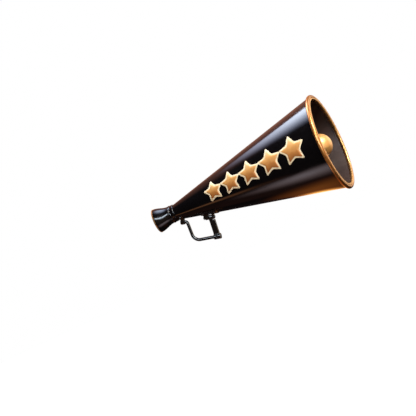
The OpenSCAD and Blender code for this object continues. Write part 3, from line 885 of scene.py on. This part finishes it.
def glow_panel(name, place, turns, half, radiance, inner, outer, cut=1.0):
    """A panel that glows on one side. It is bright in its middle and fades to nothing at its
    edge, and where cut is below 1 it stops short on one side, so that the fade is cut off."""
    mesh = bpy.data.meshes.new(name)
    mesh.from_pydata([(-1, -cut, 0), (1, -cut, 0), (1, 1, 0), (-1, 1, 0)], [], [(0, 1, 2, 3)])
    panel = bpy.data.objects.new(name, mesh)
    bpy.context.collection.objects.link(panel)
    panel.location = place
    panel.rotation_euler = [math.radians(a) for a in turns]
    panel.scale = (*half, 1)
    panel.visible_camera = False
    panel.visible_shadow = False
    material = bpy.data.materials.new(name)
    material.use_nodes = True
    tree = material.node_tree
    tree.nodes.clear()
    place_node = add_node(tree, "ShaderNodeTexCoord").outputs["Object"]
    fade = add_node(
        tree, "ShaderNodeTexGradient", {0: place_node}, gradient_type="SPHERICAL").outputs["Fac"]
    soft = add_node(
        tree, "ShaderNodeMapRange", {"Value": fade, "To Max": radiance},
        interpolation_type="SMOOTHSTEP").outputs["Result"]
    behind = add_node(tree, "ShaderNodeNewGeometry").outputs["Backfacing"]
    side = add_node(tree, "ShaderNodeMath", {0: 1, 1: behind}, operation="SUBTRACT").outputs[0]
    level = add_node(tree, "ShaderNodeMath", {0: soft, 1: side}, operation="MULTIPLY").outputs[0]
    color = add_node(
        tree, "ShaderNodeMix", {0: fade, 6: (*outer, 1), 7: (*inner, 1)},
        data_type="RGBA").outputs[2]
    emit = add_node(tree, "ShaderNodeEmission", {"Color": color, "Strength": level}).outputs[0]
    clear = add_node(tree, "ShaderNodeBsdfTransparent").outputs[0]
    both = add_node(tree, "ShaderNodeAddShader", {0: emit, 1: clear}).outputs[0]
    add_node(tree, "ShaderNodeOutputMaterial", {"Surface": both})
    mesh.materials.append(material)


def make_lights():
    """The glowing panels that the horn reflects, and the boxes that light it."""
    # a cool panel above: the streak along the horn's upper side, fading towards its narrow end
    glow_panel("upper_panel", (-0.17, 0.10, 0.45), (180, 0, 0), (0.33, 0.36), 10,
               (0.74, 0.86, 1.0), (0.44, 0.53, 0.82), 0.29)
    # a warm panel low behind: the glow on the horn's lower edge near the bell
    glow_panel("low_panel", (-0.14, 0.27, -0.16), (90, 22, 0), (0.075, 0.22), 2.3,
               (1.0, 0.55, 0.14), (0.95, 0.22, 0.02))
    # a wide red-brown one under it, for the darker part of that glow
    glow_panel("ember_panel", (-0.20, 0.10, -0.34), (30, 0, 0), (0.14, 0.30), 0.85,
               (1.0, 0.29, 0.045), (0.8, 0.17, 0.02))
    # a dim violet panel below: the soft line in the horn's lower third
    glow_panel("under_panel", (-0.27, -0.22, -0.30), (0, 0, 0), (0.22, 0.16), 2.0,
               (0.84, 0.72, 0.78), (0.66, 0.42, 0.40))
    # and a brown one beyond it, which carries that line on to the narrow end
    glow_panel("brown_panel", (-0.62, -0.32, -0.30), (0, 0, 0), (0.28, 0.11), 1.6,
               (0.95, 0.42, 0.18), (0.60, 0.18, 0.06))
    # the key, in front of the bell, lights its inside, the ball and the rim
    softbox("key", (0.95, -0.60, 1.05), (-0.05, 0, 0), (0.7, 0.7), 38, SOFT_WHITE)
    # the front box lights the stars, and no gloss reflects it
    front = softbox("front", (0.02, -1.5, 0.75), (-0.15, 0, 0), (0.7, 0.7), 17, SOFT_WHITE)
    front.visible_glossy = False
    # a long cool box that only gloss reflects, for the line along the handle's wire
    strip = softbox("strip", (0.17, -1.36, 0.38), (-0.34, 0, -0.09), (1.75, 0.32), 20,
                    (0.76, 0.88, 1.0), -30)
    strip.visible_diffuse = False
    # the back box lights the far side, and no gloss reflects it
    back = softbox("back", (0.5, 1.3, 0.8), (-0.15, 0, 0), (0.6, 0.6), 14, SOFT_WHITE)
    back.visible_glossy = False


WORLD_LOBES = (
    # direction, where the lobe starts and is full (as cosines), radiance
    ((-0.56, -0.10, -0.82), 0.90, 0.99, (0.07, 0.024, 0.014)),
    ((-0.43, 0.60, 0.68), 0.62, 0.95, (0.42, 0.16, 0.10)),
    ((-0.30, 0.90, 0.20), 0.80, 0.98, (0.10, 0.045, 0.03)),
    ((0.30, -0.95, 0.0), 0.72, 0.95, (0.10, 0.06, 0.03)),
    # the last two light the rim and the ball. They are kept narrow, so that the horn's
    # outside stays dark from its narrow end, where gloss mirrors what is ahead of the bell
    ((0.64, 0.75, 0.14), 0.86, 0.98, (2.3, 2.0, 1.55)),
    ((0.99, -0.05, -0.05), 0.93, 0.99, (0.80, 0.45, 0.20)),
)
WORLD_BASE = (0.016, 0.012, 0.012)


def make_world():
    """White to the camera. What the gloss reflects is dark, with a few soft lobes."""
    world = bpy.data.worlds.new("studio")
    bpy.context.scene.world = world
    world.use_nodes = True
    tree = world.node_tree
    tree.nodes.clear()
    direction = add_node(tree, "ShaderNodeTexCoord").outputs["Generated"]
    total = WORLD_BASE
    for axis, start, full, radiance in WORLD_LOBES:
        dot = add_node(
            tree, "ShaderNodeVectorMath", {0: direction, 1: Vector(axis).normalized()},
            operation="DOT_PRODUCT").outputs["Value"]
        fade = add_node(
            tree, "ShaderNodeMapRange", {"Value": dot, "From Min": start, "From Max": full},
            interpolation_type="SMOOTHSTEP").outputs["Result"]
        lobe = add_node(
            tree, "ShaderNodeVectorMath", {0: radiance, "Scale": fade},
            operation="SCALE").outputs[0]
        total = add_node(
            tree, "ShaderNodeVectorMath", {0: lobe, 1: total}, operation="ADD").outputs[0]
    lit = add_node(tree, "ShaderNodeBackground", {"Color": total}).outputs[0]
    seen = add_node(tree, "ShaderNodeBackground", {"Color": (1, 1, 1, 1)}).outputs[0]
    camera_ray = add_node(tree, "ShaderNodeLightPath").outputs["Is Camera Ray"]
    mixed = add_node(tree, "ShaderNodeMixShader", {"Fac": camera_ray, 1: lit, 2: seen}).outputs[0]
    add_node(tree, "ShaderNodeOutputWorld", {"Surface": mixed})


def make_floor():
    """A pale round floor. It glows to the camera, so that it meets the white behind it."""
    radius, middle_x, drop = 12, -0.2, 0.22
    bm = bmesh.new()
    bmesh.ops.create_circle(bm, cap_ends=True, segments=96, radius=radius)
    mesh = bpy.data.meshes.new("floor")
    bm.to_mesh(mesh)
    bm.free()
    floor = bpy.data.objects.new("floor", mesh)
    bpy.context.collection.objects.link(floor)
    floor.location = (middle_x, 0, cad_lo.z - drop)
    floor.visible_glossy = floor.visible_diffuse = floor.visible_shadow = False
    material = bpy.data.materials.new("floor")
    material.use_nodes = True
    tree = material.node_tree
    bsdf = tree.nodes["Principled BSDF"]
    bsdf.inputs["Base Color"].default_value = (0.82, 0.81, 0.80, 1)
    bsdf.inputs["Roughness"].default_value = 0.9
    bsdf.inputs["Emission Color"].default_value = (1, 1, 1, 1)
    camera_ray = add_node(tree, "ShaderNodeLightPath").outputs["Is Camera Ray"]
    tree.links.new(camera_ray, bsdf.inputs["Emission Strength"])
    mesh.materials.append(material)


make_camera()
make_lights()
make_world()
make_floor()
bpy.context.scene.view_settings.view_transform = "Standard"
